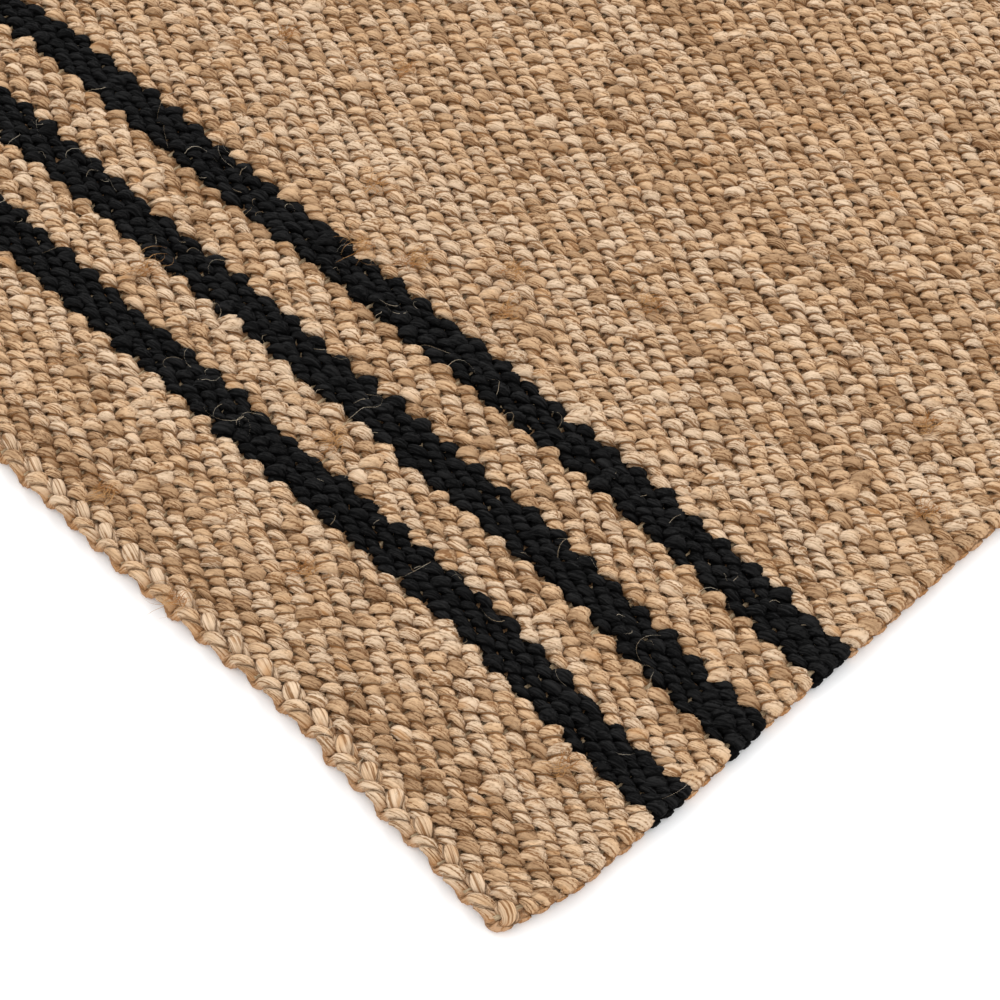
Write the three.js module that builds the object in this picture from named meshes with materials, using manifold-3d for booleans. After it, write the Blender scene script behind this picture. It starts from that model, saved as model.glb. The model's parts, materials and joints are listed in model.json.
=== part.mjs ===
// Runner rug: a flat jute weave with three black stripes near each end.
// Millimetres. +X runs across the rug, the way of the weft, +Y runs along it, the way of
// the warp, and +Z is up. The origin is on the floor, under the middle of the rug.
// The thick weft packs down over a thin warp and hides it, so each band of weft is one
// sleeve around the warp, closed at both selvedges, where its yarn turns back.

import * as THREE from 'three';
import { mergeVertices } from 'three/addons/utils/BufferGeometryUtils.js';
import Module from 'manifold-3d';

// Overall size
const RUG_WIDTH = 600;
const RUG_LENGTH = 1800;
const RUG_THICKNESS = 10;

// Bands of weft, from each end inwards. The main field fills what is left.
const END_CORD_WIDTH = 7;
const END_BAND_WIDTH = 71;
const STRIPE_WIDTH = 20;
const OUTER_GAP_WIDTH = 23.5;
const INNER_GAP_WIDTH = 26.5;

// Warp
const WARP_DIAMETER = 2;
const WARP_SPACING = 8;
const WARP_SECTIONS = 9;
const WARP_LOOP_COVER = 1.5;
const SELVEDGE_WARP_DIAMETER = 2.6;
const SELVEDGE_REACH = 8;

// Edges and fits
const CORNER_DRAW_IN = 10;
const CORNER_LENGTH = 45;
const RIM_DEPTH = 3.5;
const RIM_HEIGHT_SHARE = 0.4;
const CLEARANCE = 0.3;

// Facets
const CORNER_STEPS = 4;
const RIM_STEPS = 3;
const LOOP_STEPS = 4;
const WARP_SIDES = 6;
const CORD_SIDES = 12;
const CORD_END_STEPS = 3;
const ROUNDING = 1e-6;

// Worked out from the values above
const halfWidth = RUG_WIDTH / 2;
const halfLength = RUG_LENGTH / 2;
const midHeight = RUG_THICKNESS / 2;
const weftEnd = halfLength - END_CORD_WIDTH;
const straightEnd = weftEnd - END_BAND_WIDTH;
const rimHeight = RUG_THICKNESS * RIM_HEIGHT_SHARE;
const innerWidth = RUG_WIDTH - 2 * SELVEDGE_REACH - WARP_SPACING;
const sectionWidth = innerWidth / WARP_SECTIONS;
const warpsInSection = Math.floor(sectionWidth / WARP_SPACING + ROUNDING);

const LOOKS = {
  naturalJute: { color: 0xb08a60, roughness: 0.9, metalness: 0 },
  blackJute: { color: 0x121317, roughness: 0.85, metalness: 0 },
  warpTwine: { color: 0xc09c6e, roughness: 0.9, metalness: 0 },
};

const wasm = await Module();
wasm.setup();

const rug = new THREE.Group();

function addPart(name, geometry, look) {
  const mesh = new THREE.Mesh(geometry, new THREE.MeshStandardMaterial(LOOKS[look]));
  mesh.name = name;
  rug.add(mesh);
}

function toSolid(geometry) {
  const bare = geometry.clone();
  bare.deleteAttribute('normal');
  bare.deleteAttribute('uv');
  const merged = mergeVertices(bare);
  return new wasm.Manifold(new wasm.Mesh({
    numProp: 3,
    vertProperties: new Float32Array(merged.attributes.position.array),
    triVerts: new Uint32Array(merged.index.array),
  }));
}

function toGeometry(solid) {
  const mesh = solid.getMesh();
  const geometry = new THREE.BufferGeometry();
  geometry.setAttribute('position', new THREE.BufferAttribute(mesh.vertProperties, 3));
  geometry.setIndex(new THREE.BufferAttribute(mesh.triVerts, 1));
  geometry.computeVertexNormals();
  return geometry;
}

// The warps come closer together through the end bands, as the ends draw in.
function drawnIn(x, y) {
  const share = Math.max(0, Math.abs(y) - straightEnd) / (halfLength - straightEnd);
  return x * (1 - (CORNER_DRAW_IN / halfWidth) * share);
}

// The selvedge at +X from one end to the other, curving in at both corners.
function selvedgePoints() {
  const corner = [];
  for (let step = 0; step <= CORNER_STEPS; step += 1) {
    const along = step / CORNER_STEPS;
    const x = halfWidth - CORNER_DRAW_IN * (1 - along) ** 2;
    corner.push(new THREE.Vector2(x, CORNER_LENGTH * along - halfLength));
  }
  const farCorner = corner.map((point) => new THREE.Vector2(point.x, -point.y));
  return [...corner, ...farCorner.reverse()];
}

// The outside of the whole rug, with a rounded rim.
function rugBody() {
  const right = selvedgePoints();
  const left = right.map((point) => new THREE.Vector2(-point.x, point.y));
  const outline = new THREE.Shape([...right, ...left.reverse()]);
  const geometry = new THREE.ExtrudeGeometry(outline, {
    depth: RUG_THICKNESS - 2 * rimHeight,
    bevelThickness: rimHeight,
    bevelSize: RIM_DEPTH,
    bevelOffset: -RIM_DEPTH,
    bevelSegments: RIM_STEPS,
  });
  geometry.translate(0, 0, rimHeight);
  return toSolid(geometry);
}

// A flat tunnel the whole length of the rug, for the warps between two places across it.
function tunnel(fromX, toX, warpDiameter) {
  const stations = [-halfLength, -straightEnd, straightEnd, halfLength];
  const out = warpDiameter / 2 + CLEARANCE;
  const right = stations.map((y) => new THREE.Vector2(drawnIn(toX, y) + out, y));
  const left = stations.map((y) => new THREE.Vector2(drawnIn(fromX, y) - out, y));
  const outline = new THREE.Shape([...right, ...left.reverse()]);
  const geometry = new THREE.ExtrudeGeometry(outline, { depth: 2 * out, bevelEnabled: false });
  geometry.translate(0, 0, midHeight - out);
  return toSolid(geometry);
}

// A block right across the rug, which cuts one band out of it.
function bandBlock(fromY, toY) {
  const length = toY - fromY - CLEARANCE;
  const geometry = new THREE.BoxGeometry(2 * RUG_WIDTH, length, 2 * RUG_THICKNESS);
  geometry.translate(0, (fromY + toY) / 2, midHeight);
  return toSolid(geometry);
}

// A path whose corners are exactly the points that it is given.
class CornerPath extends THREE.Curve {
  constructor(points) {
    super();
    this.points = points;
  }

  getPoint(t) {
    const place = t * (this.points.length - 1);
    const before = Math.min(Math.floor(place), this.points.length - 2);
    return this.points[before].clone().lerp(this.points[before + 1], place - before);
  }

  getUtoTmapping(u) {
    return u;
  }
}

function warpTube(points, diameter) {
  const section = new THREE.Shape(
    new THREE.EllipseCurve(0, 0, diameter / 2, diameter / 2).getPoints(WARP_SIDES).slice(1),
  );
  return new THREE.ExtrudeGeometry(section, {
    steps: points.length - 1,
    extrudePath: new CornerPath(points),
    bevelEnabled: false,
  });
}

// Where one warp runs, from end A to end B, up to a distance from the rug's very ends.
function warpRun(x, fromEnd) {
  const lastY = halfLength - fromEnd;
  return [-lastY, -straightEnd, straightEnd, lastY].map(
    (y) => new THREE.Vector3(drawnIn(x, y), y, midHeight),
  );
}

// One section of warp: a single cord that goes back and forth, looping round at each end.
function warpSection(firstX) {
  const loopRadius = drawnIn(WARP_SPACING, halfLength) / 2;
  const fromEnd = WARP_LOOP_COVER + WARP_DIAMETER / 2 + loopRadius;
  const points = [];
  for (let warp = 0; warp < warpsInSection; warp += 1) {
    const run = warpRun(firstX + warp * WARP_SPACING, fromEnd);
    const towards = warp % 2 === 0 ? 1 : -1;
    points.push(...(towards === 1 ? run : run.reverse()));
    if (warp < warpsInSection - 1) {
      const start = points[points.length - 1];
      for (let step = 1; step < LOOP_STEPS; step += 1) {
        const angle = (Math.PI * step) / LOOP_STEPS;
        points.push(new THREE.Vector3(
          start.x + loopRadius * (1 - Math.cos(angle)),
          start.y + towards * loopRadius * Math.sin(angle),
          midHeight,
        ));
      }
    }
  }
  return warpTube(points, WARP_DIAMETER);
}

// One strand of an end cord: a flattened rod across the rug with round ends.
function endStrand(end, centreHeight, height) {
  const length = 2 * (halfWidth - CORNER_DRAW_IN);
  const width = END_CORD_WIDTH - CLEARANCE / 2;
  const profile = [];
  for (let step = 0; step <= CORD_END_STEPS; step += 1) {
    const angle = (Math.PI / 2) * (step / CORD_END_STEPS);
    const radius = (width / 2) * Math.sin(angle);
    profile.push(new THREE.Vector2(radius, (width / 2) * (1 - Math.cos(angle)) - length / 2));
  }
  const farEnd = profile.map((point) => new THREE.Vector2(point.x, -point.y));
  const geometry = new THREE.LatheGeometry([...profile, ...farEnd.reverse()], CORD_SIDES);
  geometry.rotateZ(Math.PI / 2);
  geometry.scale(1, 1, height / width);
  geometry.translate(0, end * (halfLength - width / 2), centreHeight);
  return geometry;
}

// Tunnels for the warp
const inset = SELVEDGE_REACH + WARP_SPACING;
const spareInSection = sectionWidth - warpsInSection * WARP_SPACING;
const sections = [];
for (let section = 0; section < WARP_SECTIONS; section += 1) {
  const fromX = inset - halfWidth + section * sectionWidth + spareInSection / 2;
  sections.push({ fromX, toX: fromX + (warpsInSection - 1) * WARP_SPACING });
}
const selvedgeWarpX = halfWidth - SELVEDGE_REACH;

let weft = rugBody();
for (const { fromX, toX } of sections) {
  weft = weft.subtract(tunnel(fromX, toX, WARP_DIAMETER));
}
for (const x of [-selvedgeWarpX, selvedgeWarpX]) {
  weft = weft.subtract(tunnel(x, x, SELVEDGE_WARP_DIAMETER));
}

// Bands of weft
const endBands = [
  ['band', END_BAND_WIDTH, 'naturalJute'],
  ['outer_stripe', STRIPE_WIDTH, 'blackJute'],
  ['outer_gap', OUTER_GAP_WIDTH, 'naturalJute'],
  ['middle_stripe', STRIPE_WIDTH, 'blackJute'],
  ['inner_gap', INNER_GAP_WIDTH, 'naturalJute'],
  ['inner_stripe', STRIPE_WIDTH, 'blackJute'],
];
const ends = [['end_a', -1], ['end_b', 1]];
let fieldEnd = weftEnd;
for (const [band, width, look] of endBands) {
  const nextEnd = fieldEnd - width;
  for (const [end, side] of ends) {
    const [fromY, toY] = side < 0 ? [-fieldEnd, -nextEnd] : [nextEnd, fieldEnd];
    addPart(`${end}_${band}`, toGeometry(weft.intersect(bandBlock(fromY, toY))), look);
  }
  fieldEnd = nextEnd;
}
addPart('main_field', toGeometry(weft.intersect(bandBlock(-fieldEnd, fieldEnd))), 'naturalJute');

// Warp
sections.forEach(({ fromX }, index) => {
  addPart(`warp_section_${index + 1}`, warpSection(fromX), 'warpTwine');
});
const selvedgeWarps = [['selvedge_warp_left', -1], ['selvedge_warp_right', 1]];
for (const [name, side] of selvedgeWarps) {
  const run = warpRun(side * selvedgeWarpX, WARP_LOOP_COVER);
  addPart(name, warpTube(run, SELVEDGE_WARP_DIAMETER), 'warpTwine');
}

// End cords: one strand above the warp's end loops and one below them
const strandHeight = (RUG_THICKNESS - SELVEDGE_WARP_DIAMETER) / 2 - CLEARANCE;
for (const [end, side] of ends) {
  const upper = endStrand(side, RUG_THICKNESS - strandHeight / 2, strandHeight);
  addPart(`${end}_cord_upper_strand`, upper, 'naturalJute');
  addPart(`${end}_cord_lower_strand`, endStrand(side, strandHeight / 2, strandHeight), 'naturalJute');
}

export default rug;
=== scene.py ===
import json
import math

import bpy
from mathutils import Matrix, Vector

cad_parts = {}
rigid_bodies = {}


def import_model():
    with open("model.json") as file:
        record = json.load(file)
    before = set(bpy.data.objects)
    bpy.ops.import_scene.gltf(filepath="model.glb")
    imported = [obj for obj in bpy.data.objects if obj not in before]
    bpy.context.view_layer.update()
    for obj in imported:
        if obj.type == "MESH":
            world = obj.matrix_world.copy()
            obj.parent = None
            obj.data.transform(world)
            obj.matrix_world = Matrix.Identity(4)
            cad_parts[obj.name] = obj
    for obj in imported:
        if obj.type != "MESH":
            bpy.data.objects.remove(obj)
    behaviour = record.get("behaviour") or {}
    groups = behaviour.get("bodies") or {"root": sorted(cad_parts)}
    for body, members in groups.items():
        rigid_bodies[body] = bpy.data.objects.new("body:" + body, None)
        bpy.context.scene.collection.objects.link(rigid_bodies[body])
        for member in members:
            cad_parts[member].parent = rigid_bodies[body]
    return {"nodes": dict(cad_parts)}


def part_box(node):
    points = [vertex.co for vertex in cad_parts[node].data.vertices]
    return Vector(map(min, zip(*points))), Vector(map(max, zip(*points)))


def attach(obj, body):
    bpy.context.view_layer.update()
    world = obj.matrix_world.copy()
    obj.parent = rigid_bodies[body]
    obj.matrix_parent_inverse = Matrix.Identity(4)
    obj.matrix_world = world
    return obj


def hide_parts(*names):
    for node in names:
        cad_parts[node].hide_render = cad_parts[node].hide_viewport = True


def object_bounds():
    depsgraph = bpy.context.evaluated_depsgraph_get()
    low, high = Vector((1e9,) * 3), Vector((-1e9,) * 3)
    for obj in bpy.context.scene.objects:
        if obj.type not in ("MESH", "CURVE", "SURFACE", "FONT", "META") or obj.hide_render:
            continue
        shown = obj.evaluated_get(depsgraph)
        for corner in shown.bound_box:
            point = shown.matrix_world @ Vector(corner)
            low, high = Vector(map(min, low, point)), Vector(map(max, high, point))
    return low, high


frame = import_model()

bl_info = {
    "name": "Striped Jute Runner",
    "version": (1, 0, 0),
    "blender": (4, 5, 0),
    "location": "3D View > Sidebar > Runner",
    "description": "Weaves a jute runner rug with black stripes around its packed frame",
    "category": "Add Mesh",
}

CAD_LOW, CAD_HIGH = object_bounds()
MIDDLE_HEIGHT = (CAD_LOW.z + CAD_HIGH.z) / 2
WOVEN = []
ENDS = ("end_a", "end_b")
BANDS_FROM_END = (
    ("band", "natural"),
    ("outer_stripe", "black"),
    ("outer_gap", "natural"),
    ("middle_stripe", "black"),
    ("inner_gap", "natural"),
    ("inner_stripe", "black"),
)


# ---------------------------------------------------------------- settings


def length(name, description, default):
    return bpy.props.FloatProperty(
        name=name, description=description, default=default, unit="LENGTH", precision=5
    )


def colour(name, description, default):
    return bpy.props.FloatVectorProperty(
        name=name, description=description, default=default, subtype="COLOR", min=0, max=1
    )


class RunnerWeave(bpy.types.PropertyGroup):
    """Sizes of the yarns and of the weave"""

    warp_spacing: length("Warp Spacing", "From one warp to the next", 0.008)
    warp_diameter: length("Warp Diameter", "Thickness of the warp twine", 0.0019)
    selvedge_reach: length("Selvedge Reach", "From the edge warp to the selvedge", 0.008)
    pick_pitch: length("Pick Pitch", "Wanted distance between natural picks", 0.004)
    stripe_pick_pitch: length("Stripe Pick Pitch", "Wanted distance between black picks", 0.0027)
    ply_width: length("Ply Width", "Width of one ply on the face of the rug", 0.0065)
    ply_height: length("Ply Height", "Thickness of one ply", 0.0032)
    ply_spread: length("Ply Spread", "How far a ply swings to each side as it twists", 0.0011)
    black_ply_width: length("Black Ply Width", "Width of one ply of the black yarn", 0.0054)
    ply_lift: length("Ply Lift", "How far a ply rises and falls as it twists", 0.0012)
    lift: length("Lift", "How far a pick rises over a warp and dips under it", 0.0028)
    twist_pitch: length("Twist Pitch", "Length of one turn of the two plies", 0.0158)
    unevenness: bpy.props.FloatProperty(
        name="Unevenness", description="How much the hand-spun yarn varies", default=1.3
    )
    seed: bpy.props.IntProperty(name="Seed", description="Seed of all variation", default=7)


class RunnerColours(bpy.types.PropertyGroup):
    """Colours of the fibres, with the painted shade of the grooves and the painted highlights of
    the black yarn
    """

    straw: colour("Straw", "Palest jute", (0.50, 0.362, 0.242))
    tan: colour("Tan", "Usual jute", (0.465, 0.30, 0.17))
    umber: colour("Umber", "Greyed brown jute", (0.31, 0.187, 0.098))
    rust: colour("Rust", "Orange brown flecks of bark", (0.43, 0.22, 0.085))
    # Shade is painted shade, laid into the grooves between the plies and on the deep parts of the
    # yarn
    shade: colour("Shade", "Jute deep between the yarns", (0.34, 0.14, 0.036))
    black: colour("Black", "Black-dyed jute", (0.0005, 0.0005, 0.0006))
    # Black Highlights is a painted highlight, streaked along the fibres on the tops of the black
    # strands
    black_sheen: colour("Black Highlights", "Worn tops of the black yarn", (0.0145, 0.0142, 0.0142))


class RunnerStage(bpy.types.PropertyGroup):
    """Where the camera stands and what it looks at"""

    azimuth: bpy.props.FloatProperty(
        name="Azimuth", description="Camera turned about Z", default=math.radians(45.5),
        subtype="ANGLE",
    )
    elevation: bpy.props.FloatProperty(
        name="Elevation", description="Camera above the floor", default=math.radians(52.0),
        subtype="ANGLE",
    )
    distance: length("Distance", "From the camera to the point it looks at", 1.2)
    aim_in: length("Aim In", "From the selvedge to the point looked at", 0.1494)
    aim_along: length("Aim Along", "From the end to the point looked at", 0.1374)
    lens: bpy.props.FloatProperty(
        name="Lens", description="Focal length in millimetres", default=108.0
    )


# ---------------------------------------------------------------- node helpers


class Value:
    """A value in a node tree, so that a formula in the script reads as a formula."""

    def __init__(self, tree, socket):
        self.tree = tree
        self.socket = socket

    def math(self, operation, *others):
        node = self.tree.nodes.new("ShaderNodeMath")
        node.operation = operation
        for socket, value in zip(node.inputs, (self, *others)):
            plug(self.tree, value, socket)
        return Value(self.tree, node.outputs[0])

    def __add__(self, other):
        return self.math("ADD", other)

    def __sub__(self, other):
        return self.math("SUBTRACT", other)

    def __mul__(self, other):
        return self.math("MULTIPLY", other)

    def __truediv__(self, other):
        return self.math("DIVIDE", other)

    def __pow__(self, other):
        return self.math("POWER", other)

    __radd__ = __add__
    __rmul__ = __mul__

    def __rsub__(self, other):
        return self * -1 + other

    def __neg__(self):
        return self * -1

    def sin(self):
        return self.math("SINE")

    def cos(self):
        return self.math("COSINE")

    def abs(self):
        return self.math("ABSOLUTE")

    def clamp(self, low, high):
        return self.math("MAXIMUM", low).math("MINIMUM", high)


def plug(tree, value, socket):
    """Links a Value to a socket, or sets a plain number on it."""
    if isinstance(value, Value):
        tree.links.new(value.socket, socket)
    else:
        socket.default_value = value


def active(sockets, name):
    """The socket of that name that the node is using now."""
    return next(s for s in sockets if s.name == name and s.enabled)


def add_node(tree, kind, inputs=None, **settings):
    node = tree.nodes.new(kind)
    for name, value in settings.items():
        setattr(node, name, value)
    for name, value in (inputs or {}).items():
        plug(tree, value, active(node.inputs, name))
    return node


def output(tree, node, name):
    return Value(tree, active(node.outputs, name))


def combine(tree, x, y, z):
    node = add_node(tree, "ShaderNodeCombineXYZ", {"X": x, "Y": y, "Z": z})
    return Value(tree, node.outputs[0])


def separate(tree, vector):
    node = add_node(tree, "ShaderNodeSeparateXYZ", {"Vector": vector})
    return [Value(tree, socket) for socket in node.outputs]


def noise(tree, vector, detail=1.0):
    """Three independent noises from 0 to 1, about 0.5 on average, at one place each unit."""
    node = add_node(
        tree, "ShaderNodeTexNoise",
        {"Vector": vector, "Scale": 1.0, "Detail": detail, "Roughness": 0.5},
    )
    return separate(tree, Value(tree, active(node.outputs, "Color")))


def tree_inputs(tree, sockets):
    """Adds named inputs to a tree and returns their values by name."""
    for name, kind in sockets:
        tree.interface.new_socket(name=name, in_out="INPUT", socket_type="NodeSocket" + kind)
    node = tree.nodes.new("NodeGroupInput")
    return {name: Value(tree, node.outputs[name]) for name, _ in sockets}


def new_tree(name):
    tree = bpy.data.node_groups.new(name, "GeometryNodeTree")
    tree.interface.new_socket(name="Geometry", in_out="OUTPUT", socket_type="NodeSocketGeometry")
    return tree


def store(tree, geometry, name, value, data_type="FLOAT", domain="POINT"):
    node = add_node(
        tree, "GeometryNodeStoreNamedAttribute",
        {"Geometry": geometry, "Name": name, "Value": value},
        data_type=data_type, domain=domain,
    )
    return Value(tree, node.outputs[0])


def named(tree, name):
    node = add_node(
        tree, "GeometryNodeInputNamedAttribute", {"Name": name}, data_type="FLOAT"
    )
    return output(tree, node, "Attribute")


def position(tree):
    """The place of each point, as x, y and z."""
    node = tree.nodes.new("GeometryNodeInputPosition")
    return separate(tree, Value(tree, node.outputs[0]))


def tubes(tree, count, sides, steps, order_name):
    """Copies of a tube of radius 1 and length 1 along Z, and the number of each copy."""
    tube = add_node(
        tree, "GeometryNodeMeshCylinder",
        {"Vertices": sides, "Side Segments": steps, "Radius": 1.0, "Depth": 1.0},
        fill_type="NGON",
    )
    points = add_node(tree, "GeometryNodePoints", {"Count": count})
    copies = add_node(
        tree, "GeometryNodeInstanceOnPoints",
        {"Points": output(tree, points, "Points"), "Instance": output(tree, tube, "Mesh")},
    )
    index = Value(tree, tree.nodes.new("GeometryNodeInputIndex").outputs[0])
    numbered = store(
        tree, output(tree, copies, "Instances"), order_name, index, domain="INSTANCE"
    )
    real = add_node(tree, "GeometryNodeRealizeInstances", {"Geometry": numbered})
    return output(tree, real, "Geometry"), named(tree, order_name)


def finish_tree(tree, geometry, place, material):
    """Moves the points to their places and ends a tree with real geometry and its material."""
    moved = add_node(
        tree, "GeometryNodeSetPosition", {"Geometry": geometry, "Position": place}
    )
    smooth = add_node(
        tree, "GeometryNodeSetShadeSmooth", {"Geometry": output(tree, moved, "Geometry")}
    )
    real = add_node(
        tree, "GeometryNodeRealizeInstances", {"Geometry": output(tree, smooth, "Geometry")}
    )
    dressed = add_node(
        tree, "GeometryNodeSetMaterial",
        {"Geometry": output(tree, real, "Geometry"), "Material": material},
    )
    end = tree.nodes.new("NodeGroupOutput")
    tree.links.new(dressed.outputs[0], end.inputs[0])


def grow(name, tree, values):
    """Runs a tree with the given named inputs and returns its result as a plain mesh object."""
    maker = bpy.data.objects.new(name + "_maker", bpy.data.meshes.new(name + "_maker"))
    bpy.context.scene.collection.objects.link(maker)
    modifier = maker.modifiers.new("Weave", "NODES")
    modifier.node_group = tree
    for item in tree.interface.items_tree:
        if item.in_out == "INPUT":
            modifier[item.identifier] = values[item.name]
    graph = bpy.context.evaluated_depsgraph_get()
    mesh = bpy.data.meshes.new_from_object(
        maker.evaluated_get(graph), preserve_all_data_layers=True, depsgraph=graph
    )
    bpy.data.objects.remove(maker)
    mesh.name = name
    piece = bpy.data.objects.new(name, mesh)
    bpy.context.scene.collection.objects.link(piece)
    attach(piece, "root")
    WOVEN.append(name)
    return piece


# ---------------------------------------------------------------- the lie of the rug


# How far the corners are drawn in, the picks droop beside the selvedges and are beaten back
# towards the ends, and how far the edges and the rows wander
CORNER_DRAW_IN = 0.010
CORNER_LENGTH = 0.045
SIDE_DROOP = 0.0081
DROOP_FROM, DROOP_TO = 0.165, 0.288
DROOP_FADE_FROM, DROOP_FADE_TO = 0.115, 0.34
BEATEN_BACK = 0.0027
END_BEATEN_BACK = 0.0033
END_BEATEN_LENGTH = 0.03
SELVEDGE_WANDER = 0.0022
SELVEDGE_WANDER_PITCH = 0.055
ROW_WANDER = 0.0016
ROW_WANDER_PITCH = 0.07
END_WANDER = 0.003
END_WANDER_PITCH = 0.028
END_WANDER_LENGTH = 0.016

# Shapes and places of the noises that do it
CORNER_CURVE = 1.5
SELVEDGE_POWER = 6
SELVEDGE_NOISE_MIDDLE = 0.52
ROW_NOISE_STRETCH = 0.5
SELVEDGE_NOISE, ROW_NOISE, END_NOISE = 4.7, 2.6, 1.3
OTHER_SELVEDGE, OTHER_END = 9, 7


def eased(value, low, high):
    """Rises smoothly from 0 where value is low to 1 where it is high."""
    share = ((value - low) / (high - low)).clamp(0, 1)
    return share * share * (3 - share * 2)


def lay_rug(tree, x, y):
    """Lays the woven rug as it lies: corners drawn in, picks drooping towards the selvedges."""
    half_width, half_length = CAD_HIGH.x, CAD_HIGH.y
    from_end = half_length - y.abs()
    corner = (1 - from_end / CORNER_LENGTH).clamp(0, 1) ** CORNER_CURVE
    drawn = x * (1 - corner * (CORNER_DRAW_IN / half_width))
    x_side, y_side = x.math("SIGN"), y.math("SIGN")
    edge_share = (x.abs() / half_width) ** SELVEDGE_POWER
    edge_place = combine(
        tree, SELVEDGE_NOISE, y / SELVEDGE_WANDER_PITCH, x_side * OTHER_SELVEDGE
    )
    wander = noise(tree, edge_place)[0] - SELVEDGE_NOISE_MIDDLE
    wander = wander * edge_share * x_side * (2 * SELVEDGE_WANDER)
    row_place = combine(
        tree, x / ROW_WANDER_PITCH, y * (ROW_NOISE_STRETCH / ROW_WANDER_PITCH), ROW_NOISE
    )
    row_wander = (noise(tree, row_place)[1] - 0.5) * (2 * ROW_WANDER)
    droop = eased(x.abs(), DROOP_FROM, DROOP_TO) * SIDE_DROOP
    droop = droop * (1 - eased(from_end, DROOP_FADE_FROM, DROOP_FADE_TO))
    fade = (1 - eased(from_end, DROOP_FADE_FROM, DROOP_FADE_TO)) * BEATEN_BACK
    beaten = fade + (from_end * (-1 / END_BEATEN_LENGTH)).math("EXPONENT") * END_BEATEN_BACK
    end_share = (from_end * (-1 / END_WANDER_LENGTH)).math("EXPONENT")
    end_place = combine(tree, x / END_WANDER_PITCH, y_side * OTHER_END, END_NOISE)
    end_wander = noise(tree, end_place, detail=2)[2] - 0.5
    beaten = beaten + end_share * end_wander * (2 * END_WANDER)
    return drawn + wander, y + y_side * (droop - beaten) + row_wander


# ---------------------------------------------------------------- the weft


# The two plies in section: the radius of each and how far out it lies, as shares of half a ply
PLY_ROUND, PLY_OUT = 0.6, 0.4
PLY_EDGE_SHARPNESS = 3
TINY = 1e-4

# Noises along the yarn: waves in a metre, the step from pick to pick, and a seed
SEED_STEP = 3.7
BUMPS = (75, 5.31, 0)
THICKNESS = (14, 4.43, 10)
TONES = (2.5, 0.41, 20)
TURNS = (9, 3.17, 40)
QUICK_TURNS = (38, 7.13, 60)
PLY_BUMPS = (55, 2.71, 80)
PLY_STEP = 3.3

# How much they change the yarn
THICKNESS_SHARE = 0.8
MEANDER, OWN_SHIFT = 0.0026, 0.001
HEIGHT_BUMP, OWN_HEIGHT = 0.0012, 0.0008
WIDTH_BUMP_SHARE, OWN_WIDTH_SHARE = 0.5, 0.3
HEIGHT_BUMP_SHARE, SLUB_HEIGHT_SHARE = 0.4, 0.6
PLY_SWELL = 0.85
QUICK_TURN_SHARE = 0.3
TURNING = 9
EVEN_TWIST_LENGTH = 0.05
OWN_TONE = 0.12
SLUB_FROM = 0.91
SLUB_SWELL = 4.5

# The shape of a float, from the crossings to its middle
PINCH_CURVE = 0.6
CROSSING_HEIGHT = 0.3
EDGE_SWELL, EDGE_SWELL_FROM = 0.12, 0.6

# The strand's own coordinates, for the fibres of the material
FIBRE_TURN = 0.5
FIBRE_RADIUS = 0.004
PICK_RUN_STEP, PLY_RUN_STEP = 0.713, 0.37


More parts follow.
